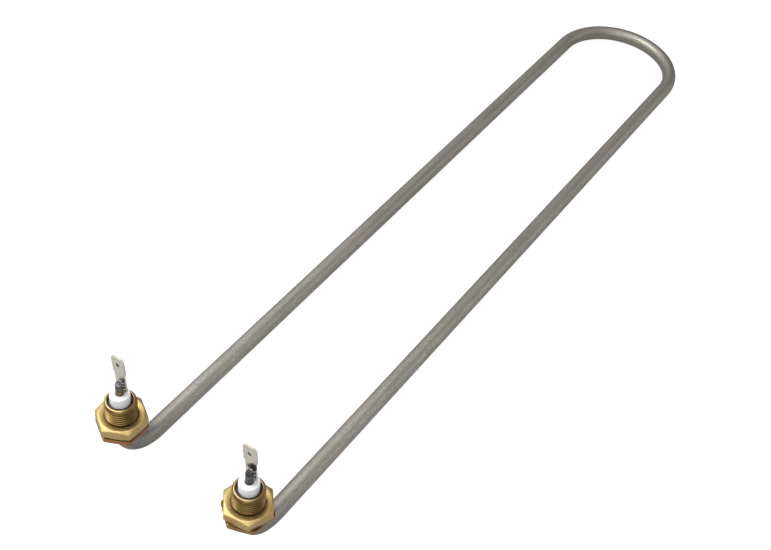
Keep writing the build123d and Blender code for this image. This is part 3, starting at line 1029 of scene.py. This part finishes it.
def neck_metal(end):
    """Turned brass, browned by the brazing, flushed at its foot, with painted shade in its grooves, in its
    bore and on one side of its thread, painted shadow and flux under the nut, and a painted highlight on
    its rim.
    """
    neck, color = NECKS[end], NECK_SHADES[end]["brass"]
    name = f"neck_metal_{end}"
    f = brass(name, color, (0.25, 0.16, 0.055), (0.46, 0.33, 0.14), 0.28, 0.45, 1.3 + neck.side)
    stain = f.noise(f.stretched(f.place, (1, 1, 1), (5, 2, 1)), 420)
    on_top = f.ramp(f.axis("Z"), neck.rim_z - RIM_CHAMFER_HEIGHT, neck.rim_z - 0.8 * MM)
    tint_rim(f, neck, stain, on_top)
    tint_thread(f, neck, on_top)
    tint_flange(f, neck, stain)
    return f


def braze_metal():
    """Coppery, patchy and grained."""
    f = Finish("braze_metal", (0.44, 0.24, 0.19), 1.0, 0.42)
    patches = f.noise(f.place, 700)
    grain = f.noise(f.place, 2600)
    f.tint(f.ramp(patches, 0.42, 0.62, 0.0, 0.8), (0.28, 0.17, 0.16))
    f.tint(f.ramp(grain, 0.55, 0.75, 0.0, 0.6), (0.52, 0.35, 0.25))
    f.rough(f.ramp(patches, 0.35, 0.7, 0.34, 0.6))
    f.bump(grain, 0.00004, 0.6)
    return f


def ceramic():
    """White, a little blue, with a soft gloss."""
    f = Finish("ceramic", (0.88, 0.88, 0.91), 0.0, 0.35)
    shade = f.noise(f.place, 380, 3, 0.5)
    grain = f.noise(f.place, 3000, 2, 0.5)
    f.tint(f.ramp(shade, 0.45, 0.7, 0.0, 0.5), (0.81, 0.81, 0.86))
    f.rough(f.ramp(grain, 0.3, 0.7, 0.28, 0.45))
    f.bump(grain, 0.00001, 0.4)
    return f


def potting():
    """Nearly black resin, browner in places."""
    f = Finish("potting", (0.022, 0.016, 0.012), 0.0, 0.5)
    patches = f.noise(f.place, 900)
    f.tint(f.ramp(patches, 0.45, 0.7, 0.0, 0.7), (0.06, 0.04, 0.02))
    f.rough(f.ramp(patches, 0.3, 0.7, 0.35, 0.7))
    f.bump(patches, 0.00008, 0.6)
    return f


def pin_metal(end):
    """Steel pin, blackened by the weld, with its own colours at its top and its foot, and a painted shadow
    under its top's burr.
    """
    neck, shades = NECKS[end], PIN_SHADES[end]
    f = Finish(f"pin_metal_{end}", shades["steel"], 1.0, 0.4)
    streaks = f.noise(f.stretched(f.stored("straight", "Vector"), (1600, 1600, 260)), 1.0)
    soot = f.noise(f.place, 900)
    f.tint(f.ramp(streaks, 0.45, 0.7, 0.0, 0.7), (0.22, 0.21, 0.20))
    f.tint(f.ramp(soot, 0.5, 0.65, 0.0, 0.8), (0.03, 0.028, 0.026))
    near_foot = f.ramp(f.axis("Z"), neck.ceramic_top + 1.4 * MM, neck.ceramic_top + 3.0 * MM, 0.8, 0.0)
    f.tint(near_foot, shades["foot"])
    below_top = f.stored("below_top", "Fac")
    f.tint(f.ramp(below_top, 0.2 * MM, 0.5 * MM, 0.85, 0.0), shades["top"])
    # painted shadow: a black band under the burr of the pin's top
    f.tint(f.band(below_top, 0.75 * MM, 0.45 * MM, 0.9), (0.008, 0.008, 0.008))
    f.rough(f.ramp(soot, 0.35, 0.65, 0.3, 0.6))
    f.bump(streaks, 0.00004, 0.6)
    f.bump(soot, 0.00005, 0.5)
    return f


def tint_scorches(f, end):
    """Ragged black spots on the front of one tab, faint on its back."""
    frame = NECKS[end].tab_frame()
    ragged = f.math("MULTIPLY", f.noise(f.place, 1500, 4, 0.7), -2.4 * MM)
    depth = f.reach(tuple(frame.translation), tuple(frame.col[1].xyz))
    on_front = f.ramp(depth, PIN_RADIUS + 0.1 * MM, PIN_RADIUS + 0.5 * MM, 0.93, 0.2)
    for x, z, size in SCORCHES[end]:
        from_spot = f.distance_from(tuple(frame @ Vector((x, TAB_FRONT_Y, z))))
        near = f.math("ADD", from_spot, ragged)
        burnt = f.ramp(near, size - 1.5 * MM, size - 0.9 * MM, 1.0, 0.0)
        f.tint(f.both(burnt, on_front), (0.05, 0.038, 0.028))


def tab_metal():
    """Nickel-plated sheet, satin, with painted shade in its hole, and scorched above the pin."""
    f = Finish("tab_metal", (0.70, 0.655, 0.565), 0.75, 0.34)
    grain = f.noise(f.stretched(f.place, (1, 1, 0.2)), 3200)
    wide = f.noise(f.place, 420, 3, 0.5)
    f.tint(f.ramp(wide, 0.42, 0.66, 0.0, 0.55), (0.61, 0.56, 0.48))
    f.tint(f.ramp(grain, 0.52, 0.72, 0.0, 0.45), (0.76, 0.72, 0.65))
    for end in ENDS:
        middle = Vector((TAB_SHIFT[end], TAB_FRONT_Y + TAB_THICKNESS / 2, TAB_HOLE_Z))
        from_hole = f.distance_from(tuple(NECKS[end].tab_frame() @ middle))
        # painted shade on the wall of the tab's hole
        hole_shade = f.ramp(from_hole, TAB_HOLE_RADIUS + 0.06 * MM, TAB_HOLE_RADIUS + 0.14 * MM, 0.9, 0.0)
        f.tint(hole_shade, (0.07, 0.058, 0.045))
        tint_scorches(f, end)
    f.rough(f.ramp(grain, 0.3, 0.7, 0.26, 0.42))
    f.bump(grain, 0.00001, 0.6)
    return f


def weld_metal():
    """Bright beads with soot between them."""
    f = Finish("weld_metal", (0.42, 0.42, 0.41), 1.0, 0.22)
    soot = f.noise(f.place, 1500, 3, 0.7)
    above_bead = f.math("SUBTRACT", f.axis("Z"), NECKS["left"].pin_top + BEAD_RISE)
    from_bead = f.math("PINGPONG", above_bead, BEAD_PITCH / 2)
    between = f.ramp(from_bead, 0.5 * BEAD_PITCH / 2, 0.85 * BEAD_PITCH / 2)
    dirt = f.math("MAXIMUM", between, f.ramp(soot, 0.52, 0.6))
    f.tint(f.both(dirt, 0.95), (0.012, 0.011, 0.010))
    f.rough(f.ramp(soot, 0.4, 0.6, 0.15, 0.5))
    return f


def coil_wire():
    """Resistance wire, greenish with oxide."""
    f = Finish("coil_wire", (0.30, 0.28, 0.26), 1.0, 0.4)
    oxide = f.noise(f.place, 700)
    f.tint(f.ramp(oxide, 0.45, 0.65, 0.0, 0.7), (0.14, 0.15, 0.13))
    f.rough(f.ramp(oxide, 0.35, 0.7, 0.35, 0.6))
    return f


def magnesia():
    """Pressed white powder."""
    f = Finish("magnesia", (0.80, 0.79, 0.75), 0.0, 0.85)
    grain = f.noise(f.place, 2500, 4, 0.7)
    f.tint(f.ramp(grain, 0.45, 0.7, 0.0, 0.6), (0.68, 0.66, 0.62))
    f.bump(grain, 0.00005, 0.6)
    return f


def seal_rubber():
    """Red-brown rubber."""
    f = Finish("seal_rubber", (0.32, 0.06, 0.035), 0.0, 0.6)
    mottle = f.noise(f.place, 1200)
    f.tint(f.ramp(mottle, 0.45, 0.7, 0.0, 0.5), (0.22, 0.04, 0.03))
    f.rough(f.ramp(mottle, 0.3, 0.7, 0.5, 0.75))
    return f


def white_share(tree):
    """How white a ray finds the background: wholly for the camera and through clear things, and
    partly in the part's reflections."""
    rays = add_node(tree, "LightPath", {}).outputs
    in_metal = {0: rays["Is Glossy Ray"], 1: WHITE_IN_METAL}
    share = add_node(tree, "Math", in_metal, operation="MULTIPLY").outputs[0]
    for ray in ("Is Camera Ray", "Is Transmission Ray"):
        share = add_node(tree, "Math", {0: share, 1: rays[ray]}, operation="MAXIMUM").outputs[0]
    return share


def floor_white():
    """White to the camera and pale in reflections, but still able to take the part's shadow."""
    f = Finish("floor_white", (FLOOR_GREY, FLOOR_GREY, FLOOR_GREY), 0.0, 1.0)
    f.shader.inputs["Specular IOR Level"].default_value = 0.0
    f.shader.inputs["Emission Color"].default_value = (1, 1, 1, 1)
    glow = f.math("MULTIPLY", white_share(f.tree), FLOOR_GLOW)
    f.tree.links.new(glow, f.shader.inputs["Emission Strength"])
    return f


SHARED = (sheath_metal, nut_metal, braze_metal, ceramic, potting, tab_metal, weld_metal, coil_wire)
MATERIALS = {make.__name__: make().material for make in (*SHARED, magnesia, seal_rubber, floor_white)}
for make in (neck_metal, pin_metal):
    MATERIALS.update({f"{make.__name__}_{end}": make(end).material for end in ENDS})


# ---------------- the part


def make_part():
    """Draws every visible piece, and gives the CAD nodes that stay a material."""
    make_sheath()
    make_coil()
    of_end = make_bushing, make_nut, make_braze, make_ceramic, make_end_seal, make_pin, make_tab, make_weld
    for neck in NECKS.values():
        for make in of_end:
            make(neck)
    kept_nodes = {"magnesia_fill": "magnesia", "magnesia_core": "magnesia"}
    for end in ENDS:
        kept_nodes[f"moisture_seal_{end}"] = "seal_rubber"
    for node, material in kept_nodes.items():
        slots = frame["nodes"][node].data.materials
        slots.clear()
        slots.append(MATERIALS[material])


# ---------------- camera, floor and light


def make_camera():
    """Aims the camera at its target, rolled about its line of sight."""
    camera_data = bpy.data.cameras.new("camera")
    camera_data.lens = CAMERA_LENS
    camera_data.sensor_width = SENSOR_WIDTH
    camera_data.clip_start, camera_data.clip_end = 0.01, 50.0
    camera = new_object("camera", camera_data)
    turn = Matrix.Rotation(radians(CAMERA_AZIMUTH), 4, "Z")
    tilt = Matrix.Rotation(radians(90 - CAMERA_ELEVATION), 4, "X")
    roll = Matrix.Rotation(radians(CAMERA_ROLL), 4, "Z")
    away = Matrix.Translation((0, 0, CAMERA_DISTANCE))
    camera.matrix_world = Matrix.Translation(CAMERA_TARGET) @ turn @ tilt @ roll @ away
    bpy.context.scene.camera = camera


def make_floor():
    """A wide plain square at Z = 0."""
    mesh = bpy.data.meshes.new("floor")
    corners = [(x * FLOOR_HALF, y * FLOOR_HALF, 0) for x, y in ((-1, -1), (1, -1), (1, 1), (-1, 1))]
    mesh.from_pydata(corners, [], [(0, 1, 2, 3)])
    mesh.materials.append(MATERIALS["floor_white"])
    floor = new_object("floor", mesh)


def make_lights():
    """Square lamps, all facing the middle of the part."""
    for name, (place, width, power) in LAMPS.items():
        light = bpy.data.lights.new(name, "AREA")
        light.shape = "SQUARE"
        light.size = width
        light.energy = power
        lamp = new_object(name, light)
        lamp.location = place
        lamp.rotation_euler = (-Vector(place)).to_track_quat("-Z", "Y").to_euler()


def make_world():
    """Pale surroundings, brightest above and to the left, dim to the right, and plain white behind
    the part."""
    world = bpy.data.worlds.new("studio")
    bpy.context.scene.world = world
    world.use_nodes = True
    tree = world.node_tree
    background = tree.nodes["Background"]
    place = add_node(tree, "TexCoord", {}).outputs["Generated"]
    slope = add_node(tree, "VectorMath", {0: place, 1: BRIGHT_SIDE}, operation="DOT_PRODUCT")
    levels = {"From Min": 0.0, "From Max": 0.9, "To Min": 0.1, "To Max": 1.0}
    sky = add_node(tree, "MapRange", {"Value": slope.outputs["Value"], **levels}).outputs["Result"]
    strength = add_node(tree, "Mix", {"Factor": white_share(tree), 2: sky, 3: 1.0}, data_type="FLOAT")
    background.inputs["Color"].default_value = (1, 1, 1, 1)
    tree.links.new(strength.outputs[0], background.inputs["Strength"])


make_camera()
make_part()
make_floor()
make_lights()
make_world()
bpy.context.scene.view_settings.view_transform = "Standard"
